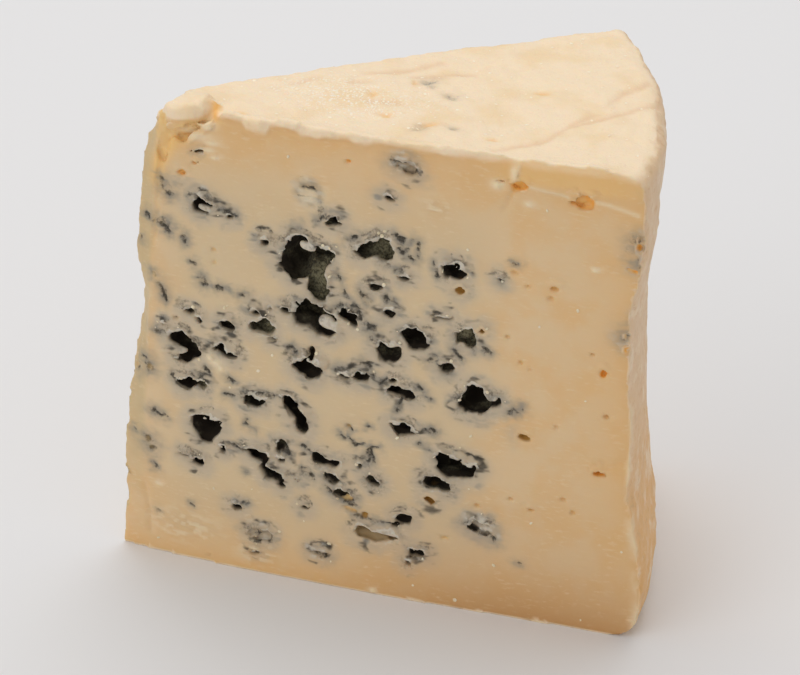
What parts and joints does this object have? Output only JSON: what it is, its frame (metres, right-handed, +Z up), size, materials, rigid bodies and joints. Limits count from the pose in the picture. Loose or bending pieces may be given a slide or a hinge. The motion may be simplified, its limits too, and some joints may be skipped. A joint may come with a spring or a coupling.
{
  "type": "blue cheese wedge",
  "caption": "Wedge of soft blue cheese cut from a drum-shaped wheel: pale paste with open blue mould hollows, a blunt tip and a thin natural rind.",
  "frame": {"origin": "on the base, under the middle of the wedge's box", "axes": "+X from the tip to the rind along the front cut, +Y from the front cut to the back, +Z up"},
  "size_m": [0.0966, 0.0582, 0.0911],
  "materials": {
    "cheese": "moist satin paste with a dry rind"
  },
  "bodies": {
    "root": {"cheese_wedge": "cheese"}
  },
  "joints": []
}
